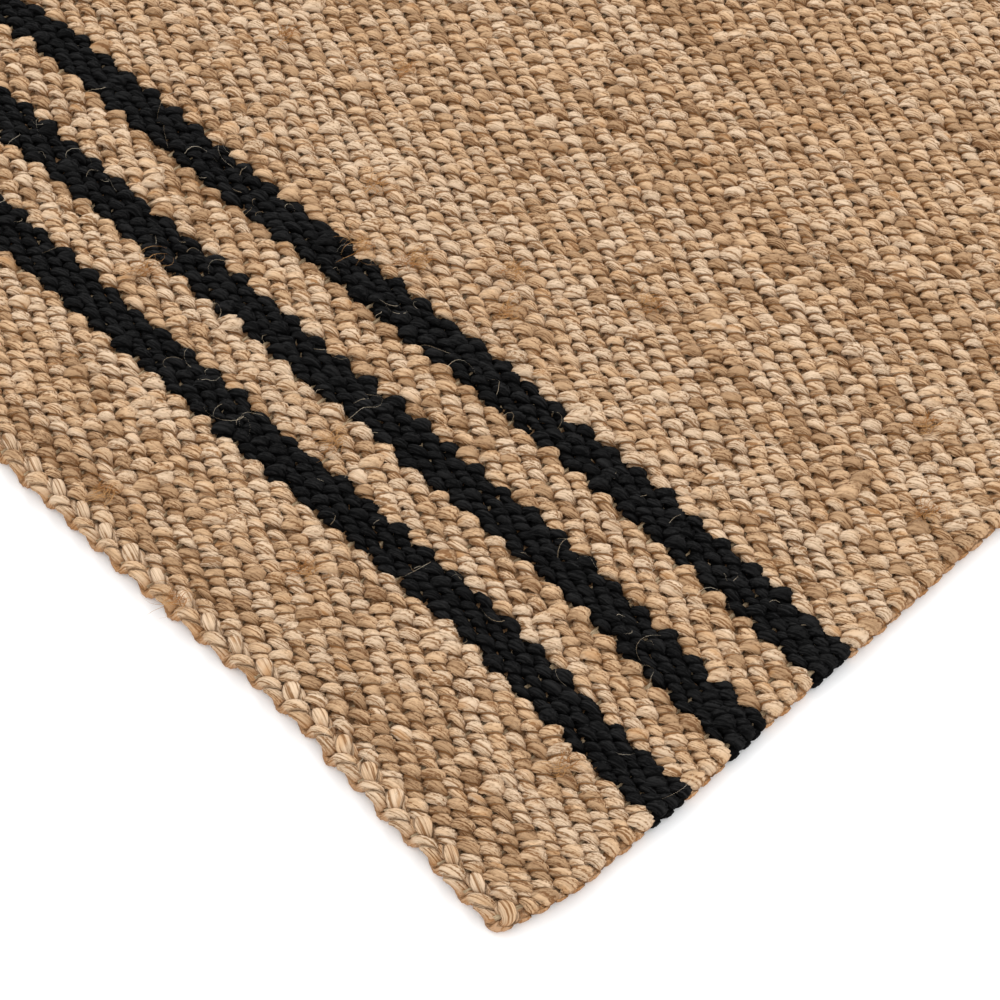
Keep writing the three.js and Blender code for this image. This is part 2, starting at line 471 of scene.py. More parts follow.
def weft_tree():
    """Picks of two-ply yarn that go over and under the warp and turn round at the selvedges."""
    tree = new_tree("Weft")
    given = tree_inputs(tree, (
        ("First Pick", "Int"), ("Picks", "Int"), ("First Y", "Float"), ("Pick Pitch", "Float"),
        ("From", "Float"), ("To", "Float"), ("Steps", "Int"), ("Sides", "Int"),
        ("Turned", "Float"), ("Crowd", "Float"), ("Warp Spacing", "Float"),
        ("Edge Warp", "Float"), ("Loop Reach", "Float"), ("Loop Length", "Float"),
        ("Ply Width", "Float"), ("Ply Height", "Float"), ("Ply Spread", "Float"),
        ("Ply Lift", "Float"), ("Crossing Width", "Float"), ("Lift", "Float"),
        ("Twist Pitch", "Float"), ("Closed Pair", "Float"),
        ("Unevenness", "Float"), ("Seed", "Int"), ("Material", "Material"),
    ))
    geometry, order = tubes(tree, given["Picks"], given["Sides"], given["Steps"], "pick_order")

    # Where each point is on its tube
    across, up, along = position(tree)
    around = up.math("ARCTAN2", across) + given["Turned"]
    pick = order + given["First Pick"]
    odd = pick.math("FLOORED_MODULO", 2)
    way = 1 - odd * 2
    spacing = given["Warp Spacing"]
    even_run = given["From"] + (given["To"] - given["From"]) * (along + 0.5)
    edge = given["Edge Warp"]

    # The run is divided more finely on the face, and unrolled round the selvedges
    def float_phase(run):
        return ((run + edge) / spacing + pick) * math.pi

    inside = even_run.math("MAXIMUM", -edge).math("MINIMUM", edge)
    crowded = float_phase(inside).sin() * spacing * given["Crowd"] * (1 / math.pi)
    run = inside - crowded
    side = even_run.math("SIGN")
    beyond = ((even_run.abs() - edge) / given["Loop Length"]).clamp(0, 1) * (math.pi / 2)
    phase = float_phase(run)
    rise = phase.cos()
    steepness = phase.sin()

    # Hand-spun unevenness
    seed = given["Seed"] * SEED_STEP
    yarn_run = even_run + pick * PICK_RUN_STEP
    unevenness = given["Unevenness"]

    def along_yarn(waves, pick_step, own_seed, detail=1, shift=0):
        place = combine(tree, yarn_run * waves, pick * pick_step + shift, seed + own_seed)
        return noise(tree, place, detail=detail)

    bumpy = along_yarn(*BUMPS, detail=2)
    thick = along_yarn(*THICKNESS)[0] - 0.5
    width_bump = (bumpy[0] - 0.5 + thick * THICKNESS_SHARE) * unevenness
    height_bump = (bumpy[1] - 0.5) * unevenness
    meander = (bumpy[2] - 0.5) * unevenness
    float_number = ((run + edge) / spacing + pick) / 2 + 0.5
    lot = add_node(
        tree, "ShaderNodeTexWhiteNoise",
        {"Vector": combine(tree, float_number.math("FLOOR"), pick, seed)},
    )
    lot_size, lot_tone, lot_shift = separate(tree, output(tree, lot, "Color"))
    on_face = rise.math("MAXIMUM", 0)
    own_size = (lot_size - 0.5) * on_face * unevenness
    own_shift = (lot_shift - 0.5) * on_face * unevenness
    slub = (output(tree, lot, "Value") - SLUB_FROM).clamp(0, 1) * SLUB_SWELL
    slub = slub * on_face * unevenness

    # Centre line of the yarn
    swing_height = given["Lift"]
    loop_turn = beyond.cos()
    centre_x = run + side * beyond.sin() * given["Loop Reach"]
    turn_way = way * (side + (1 - side) * given["Closed Pair"])
    loop_shift = turn_way * (1 - loop_turn) * given["Pick Pitch"] / 2
    pick_y = given["First Y"] + order * given["Pick Pitch"]
    centre_y = pick_y + loop_shift + meander * MEANDER + own_shift * OWN_SHIFT
    lift = rise * loop_turn * swing_height
    centre_z = lift + MIDDLE_HEIGHT + height_bump * HEIGHT_BUMP * on_face
    centre_z = centre_z + own_size * OWN_HEIGHT

    # The yarn's own frame: along it, and upwards across it
    slope = (steepness * swing_height * (-math.pi)) / spacing
    loop_slope = side * rise * beyond.sin() * swing_height * (math.pi / 2) / given["Loop Length"]
    fall = slope - loop_slope
    size = (loop_turn * loop_turn + fall * fall).math("SQRT").math("MAXIMUM", TINY)
    up_x = -fall / size
    up_z = loop_turn / size

    # Two plies twisted together
    turning = along_yarn(*TURNS)[0] - 0.5
    turning = turning + (along_yarn(*QUICK_TURNS)[0] - 0.5) * QUICK_TURN_SHARE
    past_edge = edge + given["Loop Length"]
    near_edge = ((past_edge - even_run.abs()) / EVEN_TWIST_LENGTH).clamp(0, 1)
    twist = (even_run - past_edge) * (-2 * math.pi) / given["Twist Pitch"]
    twist = twist + turning * near_edge * (unevenness * TURNING)
    angle = around + twist
    ply = (around.cos() * PLY_EDGE_SHARPNESS).clamp(-1, 1)
    flank = around.sin() * PLY_OUT
    reach = around.cos().abs() * PLY_OUT + (PLY_ROUND ** 2 - flank * flank).math("SQRT")
    ply_across, ply_up = ply * twist.cos(), ply * twist.sin()
    from_ply_across = (angle.cos() * reach - ply_across * PLY_OUT) * (1 / PLY_ROUND)
    from_ply_up = (angle.sin() * reach - ply_up * PLY_OUT) * (1 / PLY_ROUND)
    ply_bump = along_yarn(*PLY_BUMPS, shift=ply * PLY_STEP)[0] - 0.5
    ply_swell = 1 + ply_bump * (unevenness * PLY_SWELL)
    lateral = from_ply_across * ply_swell * given["Ply Width"] / 2
    lateral = lateral + ply_across * given["Ply Spread"]
    vertical = from_ply_up * ply_swell * given["Ply Height"] / 2 + ply_up * given["Ply Lift"]

    # Flat and wide where the pick floats, narrow and tall where picks cross
    floating = rise * rise
    full_width = given["Ply Width"] + given["Ply Spread"] * 2
    pinch = 1 - (1 - given["Crossing Width"] / full_width) * (1 - floating ** PINCH_CURVE)
    swell = 1 + width_bump * WIDTH_BUMP_SHARE + own_size * OWN_WIDTH_SHARE + slub
    near_loop = eased(even_run.abs(), edge - spacing * EDGE_SWELL_FROM, edge)
    lateral = lateral * pinch * swell * (1 + near_loop * EDGE_SWELL)
    tall = (1 - floating) * CROSSING_HEIGHT + height_bump * HEIGHT_BUMP_SHARE
    vertical = vertical * (1 + tall + slub * SLUB_HEIGHT_SHARE)

    x = centre_x + up_x * vertical
    y = centre_y + lateral
    z = (centre_z + up_z * vertical).math("MAXIMUM", CAD_LOW.z)
    x, y = lay_rug(tree, x, y)

    fibre_turn = around + twist * FIBRE_TURN
    own_run = yarn_run + ply * PLY_RUN_STEP
    strand = combine(
        tree, fibre_turn.cos() * FIBRE_RADIUS, fibre_turn.sin() * FIBRE_RADIUS, own_run
    )
    tone = along_yarn(*TONES, detail=2)[0] + (lot_tone - 0.5) * OWN_TONE
    geometry = store(tree, geometry, "strand", strand, "FLOAT_VECTOR")
    # The crown and the height are kept for the painted shade, which gathers in the groove between
    # the plies and on the deep parts of the yarn
    geometry = store(tree, geometry, "crown", around.cos().abs())
    geometry = store(tree, geometry, "height", z)
    geometry = store(tree, geometry, "tone", tone)
    finish_tree(tree, geometry, combine(tree, x, y, z), given["Material"])
    return tree


CORD_COVER = 0.0066
STRIPE_GAP = 0.0012
CROSSING_SHARE = 1.55
LOOP_REACH = 0.0036
LOOP_LENGTH = 0.0069
BLACK_SPREAD_SHARE, BLACK_SPREAD_PITCH = 1.3, 0.004
FINE_STEPS, FINE_SIDES, FINE_CROWD = 11, 12, 0.35
PLAIN_STEPS, PLAIN_SIDES = 5, 6
FINE_BLOCK_PICKS, PLAIN_BLOCK_PICKS = 18, 64
LOOK_AHEAD_PICKS = 3.2
LEAST_WARPS_BESIDE = 4

# The finely made corner, by the distance from end A: it starts narrow and widens to its
# widest place, narrows again, and leaves the selvedge further along
FINE_WIDTH_AT_END, FINE_WIDENING = 0.297, 1.27
FINE_WIDEST, FINE_WIDEST_AT, FINE_NARROWING = 0.517, 0.173, 0.947
FINE_LEAVES_AT, FINE_LEAVING, FINE_PAST_EDGE = 0.267, 0.846, 0.002
FINE_LEAST_WIDTH = 0.03


def matched_pitch(pitch, edge):
    """The twist pitch nearest to pitch with which the plies meet at both selvedge loops."""
    half_turns = round(4 * (edge + LOOP_LENGTH) / pitch)
    return 4 * (edge + LOOP_LENGTH) / half_turns


def weave(name, tree, picks, run, steps_per_float, sides, material, **changes):
    """Makes one patch of weft. picks is (number of the first, how many, its y, the pitch)."""
    sizes = bpy.context.scene.runner_weave
    edge = CAD_HIGH.x - sizes.selvedge_reach
    first, count, first_y, pitch = picks
    start, end = run
    values = {
        "First Pick": first, "Picks": count, "First Y": first_y, "Pick Pitch": pitch,
        "From": start, "To": end, "Sides": sides, "Turned": 0.0,
        "Steps": max(2, round((end - start) / (2 * sizes.warp_spacing) * steps_per_float)),
        "Crowd": 0.0, "Warp Spacing": sizes.warp_spacing, "Edge Warp": edge,
        "Loop Reach": LOOP_REACH, "Loop Length": LOOP_LENGTH,
        "Ply Width": sizes.ply_width, "Ply Height": sizes.ply_height,
        "Ply Spread": sizes.ply_spread, "Ply Lift": sizes.ply_lift,
        "Crossing Width": pitch * CROSSING_SHARE, "Lift": sizes.lift,
        "Twist Pitch": matched_pitch(sizes.twist_pitch, edge), "Closed Pair": 0.0,
        "Unevenness": sizes.unevenness, "Seed": sizes.seed, "Material": material,
    }
    values.update(changes)
    return grow(name, tree, values)


def shown_run(y):
    """The part of a pick at y that lies in the finely made corner, or None."""
    from_end = y - CAD_LOW.y
    widening = CAD_HIGH.x - FINE_WIDTH_AT_END - from_end * FINE_WIDENING
    narrowing = CAD_HIGH.x - FINE_WIDEST + (from_end - FINE_WIDEST_AT) * FINE_NARROWING
    leaving = max(0.0, from_end - FINE_LEAVES_AT) * FINE_LEAVING
    start, end = max(widening, narrowing), CAD_HIGH.x + FINE_PAST_EDGE - leaving
    return (start, end) if end - start > FINE_LEAST_WIDTH else None


def bands_of_weft():
    """Every band of weft as (node, colour, lowest y, highest y), from end A to end B."""
    bands = [(f"{end}_{part}", shade) for end in ENDS for part, shade in BANDS_FROM_END]
    bands.append(("main_field", "natural"))
    placed = [(node, shade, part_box(node)[0].y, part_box(node)[1].y) for node, shade in bands]
    return sorted(placed, key=lambda band: band[2])


def even_count(wanted):
    """The even number nearest to wanted, so that every band starts on the same kind of pick."""
    return 2 * max(1, round(wanted / 2))


class RUNNER_OT_weft(bpy.types.Operator):
    """Weave every band of natural and black weft"""

    bl_idname = "runner.weft"
    bl_label = "Weft"

    def execute(self, context):
        sizes = context.scene.runner_weave
        tree = weft_tree()
        widths = {"natural": sizes.ply_width, "black": sizes.black_ply_width}
        materials = {"natural": natural_jute(), "black": black_jute()}
        turn = CAD_HIGH.x - sizes.selvedge_reach + LOOP_LENGTH
        first_pick = 0
        for node, shade, low, high in bands_of_weft():
            gap = STRIPE_GAP if shade == "black" else CORD_COVER if node.endswith("_band") else 0
            low += gap if node.startswith("end_a") else 0
            high -= gap if node.startswith("end_b") else 0
            wanted = sizes.stripe_pick_pitch if shade == "black" else sizes.pick_pitch
            count = even_count((high - low) / wanted)
            pitch = (high - low) / count
            pieces = []
            start = 0
            while start < count:
                y = low + (start + 0.5) * pitch
                fine = shown_run(y + LOOK_AHEAD_PICKS * pitch) or shown_run(y)
                rows = min(FINE_BLOCK_PICKS if fine else PLAIN_BLOCK_PICKS, count - start)
                picks = (first_pick + start, rows, y, pitch)
                pieces += self.patches(node, tree, picks, turn, materials[shade], widths[shade])
                start += rows
            for piece in pieces:
                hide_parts(node)
            first_pick += count
        return {"FINISHED"}

    def patches(self, node, tree, picks, turn, material, width):
        """One run of rows, as a finely made patch at the shown corner and plain ones beside it."""
        sizes = bpy.context.scene.runner_weave
        spacing = sizes.warp_spacing
        first, rows, y, pitch = picks
        label = f"{node}_rows_{first + 1}"
        spans = [shown_run(y), shown_run(y + (rows - 1) * pitch)]
        spans = [span for span in spans if span]
        plain = (PLAIN_STEPS, PLAIN_SIDES, material)
        crowding = min(1, BLACK_SPREAD_SHARE * pitch / BLACK_SPREAD_PITCH)
        own = {"Ply Width": width, "Ply Spread": sizes.ply_spread * crowding}
        turned = {**own, "Turned": math.pi / PLAIN_SIDES}
        if not spans:
            return [weave(label, tree, picks, (-turn, turn), *plain, **turned)]
        start = self.to_crossing(min(span[0] for span in spans), spacing, math.floor)
        end = self.to_crossing(max(span[1] for span in spans), spacing, math.ceil)
        end = turn if end > turn - LEAST_WARPS_BESIDE * spacing else end
        fine = weave(
            label + "_corner", tree, picks, (start, end), FINE_STEPS, FINE_SIDES, material,
            Crowd=FINE_CROWD, **own,
        )
        made = [fine, weave(label + "_left", tree, picks, (-turn, start), *plain, **turned)]
        if end < turn:
            made.append(weave(label + "_right", tree, picks, (end, turn), *plain, **turned))
        return made

    def to_crossing(self, x, spacing, rounding):
        """The place halfway between two warps that is next to x."""
        return rounding(x / spacing) * spacing


CORD_PLACES = (("lower", 0.0072), ("upper", 0.0117))
CORD_PLY_WIDTH, CORD_PLY_HEIGHT = 0.0066, 0.0042
CORD_PLY_SPREAD, CORD_PLY_LIFT = 0.0008, 0.0009
CORD_CROSSING, CORD_LIFT = 0.0064, 0.0026
CORD_STEPS, CORD_SIDES, CORD_CROWD = 14, 14, 0.3
CORD_UNEVENNESS_SHARE = 0.5

# Each end's side of the rug and the numbers of its lower and upper strand, one odd and one
# even, so that they pass on opposite sides of each warp
CORD_PICKS = (("end_a", -1, (-2, -1)), ("end_b", 1, (501, 500)))


class RUNNER_OT_end_cords(bpy.types.Operator):
    """Close both ends with a cord of two thick twined strands"""

    bl_idname = "runner.end_cords"
    bl_label = "End Cords"

    def execute(self, context):
        sizes = context.scene.runner_weave
        tree = bpy.data.node_groups["Weft"]
        material = bpy.data.materials["undyed_jute_yarn"]
        loop = sizes.warp_spacing / 2
        turn = CAD_HIGH.x - sizes.selvedge_reach + loop
        pitch = CORD_PLACES[1][1] - CORD_PLACES[0][1]
        for end, side, picks in CORD_PICKS:
            for (strand, from_end), pick, way in zip(CORD_PLACES, picks, (1, -1)):
                node = f"{end}_cord_{strand}_strand"
                y = side * (CAD_HIGH.y - from_end)
                cord = weave(
                    node.replace("_strand", ""), tree, (pick, 1, y, pitch), (-turn, turn),
                    CORD_STEPS, CORD_SIDES, material, **{
                        "Ply Width": CORD_PLY_WIDTH, "Ply Height": CORD_PLY_HEIGHT,
                        "Ply Spread": CORD_PLY_SPREAD, "Ply Lift": CORD_PLY_LIFT,
                        "Crossing Width": CORD_CROSSING, "Lift": CORD_LIFT,
                        "Closed Pair": 1.0, "Crowd": CORD_CROWD, "Loop Length": loop,
                        "Twist Pitch": way * 2 * sizes.warp_spacing,
                        "Unevenness": sizes.unevenness * CORD_UNEVENNESS_SHARE,
                    },
                )
                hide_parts(node)
        return {"FINISHED"}


# ---------------------------------------------------------------- the warp


WARP_SIDES = 6
WARP_STEP = 0.012
WARP_END_COVER = 0.006
WARP_NODE_DIAMETER = 0.002
SELVEDGE_WARP_SHARE = 1.3
WARP_FIBRE_RADIUS = 0.001
WARP_FIBRE_STEP = 1.7


def warp_tree():
    """Straight twines along the rug, evenly spaced."""
    tree = new_tree("Warp")
    given = tree_inputs(tree, (
        ("Warps", "Int"), ("First X", "Float"), ("Warp Spacing", "Float"), ("Reach", "Float"),
        ("Diameter", "Float"), ("Steps", "Int"), ("Sides", "Int"), ("Material", "Material"),
    ))
    geometry, order = tubes(tree, given["Warps"], given["Sides"], given["Steps"], "warp_order")
    across, up, along = position(tree)
    x = given["First X"] + order * given["Warp Spacing"]
    y = along * (2 * given["Reach"])
    moved_x, moved_y = lay_rug(tree, x, y)
    radius = given["Diameter"] / 2
    place = combine(tree, moved_x - across * radius, moved_y, up * radius + MIDDLE_HEIGHT)
    strand = combine(
        tree, across * WARP_FIBRE_RADIUS, up * WARP_FIBRE_RADIUS, y + x * WARP_FIBRE_STEP
    )
    geometry = store(tree, geometry, "strand", strand, "FLOAT_VECTOR")
    finish_tree(tree, geometry, place, given["Material"])
    return tree


class RUNNER_OT_warp(bpy.types.Operator):
    """Stretch the warp twines through the rug"""

    bl_idname = "runner.warp"
    bl_label = "Warp"

    def execute(self, context):
        sizes = context.scene.runner_weave
        tree = warp_tree()
        material = warp_twine()
        reach = CAD_HIGH.y - WARP_END_COVER
        for node in sorted(frame["nodes"]):
            if "warp" not in node:
                continue
            low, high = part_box(node)
            selvedge = node.startswith("selvedge")
            middle = (low.x + high.x) / 2
            half = 0 if selvedge else (high.x - low.x - WARP_NODE_DIAMETER) / 2
            if selvedge:
                middle = math.copysign(CAD_HIGH.x - sizes.selvedge_reach, middle)
            warps = 1 if selvedge else round(2 * half / sizes.warp_spacing) + 1
            piece = grow(node + "_twines", tree, {
                "Warps": warps, "First X": middle - half,
                "Warp Spacing": 2 * half / max(1, warps - 1), "Reach": reach,
                "Diameter": sizes.warp_diameter * (SELVEDGE_WARP_SHARE if selvedge else 1),
                "Steps": round(2 * reach / WARP_STEP), "Sides": WARP_SIDES,
                "Material": material,
            })
            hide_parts(node)
        return {"FINISHED"}


# ---------------------------------------------------------------- the weave's core


CORE_INSET = 0.0085
CORE_HALF_THICKNESS = 0.00025
CORE_CELLS = (60, 180)


class RUNNER_OT_core(bpy.types.Operator):
    bl_idname = "runner.core"
    bl_label = "Core"

    def execute(self, context):
        tree = new_tree("Core")
        given = tree_inputs(tree, (
            ("Width", "Float"), ("Length", "Float"), ("Across", "Int"), ("Along", "Int"),
            ("Half Thickness", "Float"), ("Material", "Material"),
        ))
        block = add_node(tree, "GeometryNodeMeshCube", {
            "Size": combine(tree, given["Width"], given["Length"], 2.0),
            "Vertices X": given["Across"], "Vertices Y": given["Along"], "Vertices Z": 2,
        })
        x, y, z = position(tree)
        moved_x, moved_y = lay_rug(tree, x, y)
        place = combine(tree, moved_x, moved_y, z * given["Half Thickness"] + MIDDLE_HEIGHT)
        finish_tree(tree, output(tree, block, "Mesh"), place, given["Material"])
        width, reach = (2 * (side - CORE_INSET) for side in (CAD_HIGH.x, CAD_HIGH.y))
        core = grow("weave_core", tree, {
            "Width": width, "Length": reach, "Across": CORE_CELLS[0], "Along": CORE_CELLS[1],
            "Half Thickness": CORE_HALF_THICKNESS, "Material": deep_jute(),
        })
        woven = [piece for piece in context.scene.objects if piece.name in WOVEN]
        return {"FINISHED"}


# ---------------------------------------------------------------- stray fibres


FIBRE_SIDES, FIBRE_STEPS, FIBRE_CURL = 3, 8, 0.8
FIBRE_SEED_STEP = 1.37
FIBRE_LAYER = 0.0005
RIPPLE_WAVES = 3
RIPPLE, RIPPLE_SPREAD = 0.04, 0.16
ARCH, ARCH_SPREAD = 0.1, 0.25
ROOT_THICKNESS = 1.15

# Least length, most length and thickness
STRAYS = (0.004, 0.02, 0.00012)
TUFTS = (0.004, 0.014, 0.0003)
STRAY_HEIGHT, TUFT_HEIGHT = -0.0006, 0.0006
TUFT_FIBRES, TUFT_SPREAD = 40, 0.007

# The areas they lie in
SIDE_CLEAR, END_CLEAR, CORNER_CLEAR = 0.006, 0.01, 0.004
CORNER_AREA_LENGTH = 0.42


def fibre_tree():
    """Thin curled fibres that stand out of the face of the rug."""
    tree = new_tree("Stray Fibres")
    given = tree_inputs(tree, (
        ("Fibres", "Int"), ("Low", "Vector"), ("High", "Vector"), ("Least Length", "Float"),
        ("Most Length", "Float"), ("Thickness", "Float"), ("Curl", "Float"),
        ("Clump", "Int"), ("Clump Spread", "Float"),
        ("Steps", "Int"), ("Seed", "Int"), ("Material", "Material"),
    ))
    geometry, order = tubes(tree, given["Fibres"], FIBRE_SIDES, given["Steps"], "fibre_order")
    across, up, along = position(tree)
    seed = given["Seed"] * FIBRE_SEED_STEP

    def lots(number, row):
        """Three random values from 0 to 1 for each number, and three others in another row."""
        node = add_node(
            tree, "ShaderNodeTexWhiteNoise", {"Vector": combine(tree, number, row, seed)}
        )
        return separate(tree, output(tree, node, "Color"))

    clump = (order / given["Clump"]).math("FLOOR")
    spot_x, spot_y, spot_z = lots(clump, 0.5)
    off_x, off_y, _ = lots(order, 3.5)
    heading, length_lot, rise_lot = lots(order, 1.5)
    bend, wave, tilt = lots(order, 2.5)
    low, high = separate(tree, given["Low"]), separate(tree, given["High"])
    spread = given["Clump Spread"]
    start_x = low[0] + (high[0] - low[0]) * spot_x + (off_x - 0.5) * spread
    start_y = low[1] + (high[1] - low[1]) * spot_y + (off_y - 0.5) * spread
    reach = given["Least Length"] + (given["Most Length"] - given["Least Length"]) * (
        length_lot * length_lot
    )
    share = along + 0.5
    turned = (heading + (bend - 0.5) * share * given["Curl"]) * (2 * math.pi)
    ripple = (share * (RIPPLE_WAVES + wave * RIPPLE_WAVES)).sin()
    ripple = ripple * (RIPPLE + bend * RIPPLE_SPREAD) * reach
    run = share * reach
    x = start_x + turned.cos() * run - turned.sin() * ripple
    y = start_y + turned.sin() * run + turned.cos() * ripple
    arch = (share * math.pi).sin() * (ARCH + rise_lot * ARCH_SPREAD) * reach
    z = low[2] + (high[2] - low[2]) * spot_z + arch
    thin = given["Thickness"] / 2 * (ROOT_THICKNESS - share)
    x = x + across * thin
    y = y + across * thin * (tilt - 0.5)
    moved_x, moved_y = lay_rug(tree, x, y)
    place = combine(tree, moved_x, moved_y, z + up * thin)
    finish_tree(tree, geometry, place, given["Material"])
    return tree


class RUNNER_OT_stray_fibres(bpy.types.Operator):
    """Scatter loose fibres and small rusty tufts over the rug, most thickly at one corner"""

    bl_idname = "runner.stray_fibres"
    bl_label = "Stray Fibres"

    def execute(self, context):
        seed = context.scene.runner_weave.seed
        tree = fibre_tree()
        loose, tuft = pale_fibre(), tuft_fibre()
        low, high = CAD_LOW, CAD_HIGH
        corner_end = high.x - SIDE_CLEAR, low.y + CORNER_AREA_LENGTH
        corner = ((low.x / 2, low.y + CORNER_CLEAR), corner_end)
        whole_end = high.x - SIDE_CLEAR, high.y - END_CLEAR
        whole = ((low.x + SIDE_CLEAR, low.y + END_CLEAR), whole_end)
        singly = (STRAYS, STRAY_HEIGHT, 1, 0.0)
        clumped = (TUFTS, TUFT_HEIGHT, TUFT_FIBRES, TUFT_SPREAD)
        for name, count, area, kind, material in (
            ("corner_stray_fibres", 420, corner, singly, loose),
            ("other_stray_fibres", 500, whole, singly, loose),
            ("corner_tufts", 640, corner, clumped, tuft),
            ("other_tufts", 800, whole, clumped, tuft),
        ):
            (least, most, thickness), height, clump, spread = kind
            layer = high.z + height
            piece = grow(name, tree, {
                "Fibres": count, "Low": (*area[0], layer - FIBRE_LAYER),
                "High": (*area[1], layer + FIBRE_LAYER), "Least Length": least,
                "Most Length": most, "Thickness": thickness, "Curl": FIBRE_CURL,
                "Steps": FIBRE_STEPS, "Clump": clump, "Clump Spread": spread,
                "Seed": seed, "Material": material,
            })
        return {"FINISHED"}


# ---------------------------------------------------------------- materials


SPECULAR, BLACK_SPECULAR = 0.25, 0.06
FIBRES = {"across": 1300, "along": 65, "detail": 2, "roughness": 0.5}
FIBRE_DEPTH = 0.0006
# Heights of the yarn below which the painted shade is fullest (DEEP) and above which it stops
# (CROWN), and how tightly the painted shade keeps to the groove between plies
DEEP, CROWN = 0.0045, 0.0082
GROOVE_SHARPNESS = 2.1
FLECKS_FROM, FLECK_SHARPNESS, FLECK_SHARE = 0.63, 9, 0.6
FLOOR_COLOUR = (0.93, 0.93, 0.93, 1)


def new_material(name, roughness, specular=SPECULAR):
    material = bpy.data.materials.new(name)
    material.use_nodes = True
    tree = material.node_tree
    shader = tree.nodes["Principled BSDF"]
    shader.inputs["Roughness"].default_value = roughness
    shader.inputs["Specular IOR Level"].default_value = specular
    return material, tree, shader


def ramp(tree, factor, stops):
    """A colour ramp through (position, colour) stops."""
    node = tree.nodes.new("ShaderNodeValToRGB")
    plug(tree, factor, node.inputs["Fac"])
    elements = node.color_ramp.elements
    while len(elements) < len(stops):
        elements.new(0.5)
    for element, (position, shade) in zip(elements, stops):
        element.position = position
        element.color = (*shade, 1)
    return Value(tree, node.outputs["Color"])


def blend(tree, factor, first, second, blend_type="MIX"):
    node = tree.nodes.new("ShaderNodeMix")
    node.data_type = "RGBA"
    node.blend_type = blend_type
    plug(tree, factor, node.inputs[0])
    for socket, value in ((node.inputs[6], first), (node.inputs[7], second)):
        if isinstance(value, Value):
            tree.links.new(value.socket, socket)
        else:
            socket.default_value = (*value, 1)
    return Value(tree, node.outputs[2])


def attribute(tree, name, kind="Fac"):
    node = tree.nodes.new("ShaderNodeAttribute")
    node.attribute_name = name
    return Value(tree, node.outputs[kind])


def stretched_noise(tree, vector, across, along, detail=2.0, roughness=0.5):
    """Noise that can be finer across a strand than along it."""
    mapping = add_node(tree, "ShaderNodeMapping", {"Vector": vector})
    mapping.inputs["Scale"].default_value = (across, across, along)
    node = add_node(
        tree, "ShaderNodeTexNoise",
        {"Vector": output(tree, mapping, "Vector"), "Scale": 1.0, "Detail": detail,
         "Roughness": roughness},
    )
    return Value(tree, active(node.outputs, "Fac"))


def bump(tree, shader, height, distance):
    node = add_node(
        tree, "ShaderNodeBump", {"Height": height, "Distance": distance, "Strength": 1.0}
    )
    tree.links.new(node.outputs["Normal"], shader.inputs["Normal"])


def object_place(tree):
    """The place on the piece, in metres."""
    return Value(tree, tree.nodes.new("ShaderNodeTexCoord").outputs["Object"])


def clear_of_painted_shade(tree, depth_share):
    """From 1 on top of a strand down to 0 in the groove between strands, and less where the yarn
    lies deep: the share kept clear of the painted shade.
    """
    height = attribute(tree, "height")
    shown = ((height - DEEP) / (CROWN - DEEP)).clamp(0, 1) * depth_share + (1 - depth_share)
    return (attribute(tree, "crown") * GROOVE_SHARPNESS).clamp(0, 1) * shown


def natural_jute():
    """Undyed jute: straw to tan, with fine fibres, rusty flecks and painted shade in the grooves
    and deep parts of the yarn.
    """
    shades = bpy.context.scene.runner_colours
    material, tree, shader = new_material("undyed_jute_yarn", 0.8)
    strand = attribute(tree, "strand", "Vector")
    tone = attribute(tree, "tone")
    lengths = stretched_noise(tree, strand, 120, 75, detail=3)
    shade = tone * 0.6 + lengths * 0.4
    base = ramp(tree, shade, (
        (0.42, shades.umber[:]), (0.475, shades.tan[:]), (0.56, shades.straw[:]),
    ))
    fibres = stretched_noise(tree, strand, **FIBRES)
    streaks = ramp(tree, fibres, (
        (0.38, (0.46, 0.33, 0.21)), (0.46, (0.92, 0.90, 0.87)), (0.60, (1.28, 1.31, 1.34)),
    ))
    base = blend(tree, 1.0, base, streaks, "MULTIPLY")
    flecks = stretched_noise(tree, strand, 200, 90, detail=2)
    fleck_share = ((flecks - FLECKS_FROM) * FLECK_SHARPNESS).clamp(0, 1) * FLECK_SHARE
    base = blend(tree, fleck_share, base, shades.rust[:])
    # Painted shade: the shade colour laid into the grooves between plies and, in part, on the deep
    # parts of the yarn
    base = blend(tree, clear_of_painted_shade(tree, 0.6), shades.shade[:], base)
    tree.links.new(base.socket, shader.inputs["Base Color"])
    bump(tree, shader, fibres, FIBRE_DEPTH)
    return material


def black_jute():
    """Black-dyed jute, with painted highlights on the tops of the strands and painted shade in the
    grooves.
    """
    shades = bpy.context.scene.runner_colours
    material, tree, shader = new_material("black_jute_yarn", 0.75, BLACK_SPECULAR)
    strand = attribute(tree, "strand", "Vector")
    fibres = stretched_noise(tree, strand, **FIBRES)
    # Painted highlight: the black highlights colour streaked along the fibres
    base = ramp(tree, fibres, ((0.40, shades.black[:]), (0.66, shades.black_sheen[:])))
    # Painted shade: plain black laid into the grooves and on the deep parts of the strands, so the
    # painted highlights stay on the tops
    base = blend(tree, clear_of_painted_shade(tree, 0.9), shades.black[:], base)
    tree.links.new(base.socket, shader.inputs["Base Color"])
    bump(tree, shader, fibres, FIBRE_DEPTH)
    return material


def warp_twine():
    """Pale twisted twine."""
    material, tree, shader = new_material("twisted_warp_twine", 0.85)
    strand = attribute(tree, "strand", "Vector")
    fibres = stretched_noise(tree, strand, 2500, 500, detail=2)
    base = ramp(tree, fibres, ((0.3, (0.22, 0.15, 0.08)), (0.65, (0.5, 0.38, 0.24))))
    tree.links.new(base.socket, shader.inputs["Base Color"])
    bump(tree, shader, fibres, 0.0003)
    return material


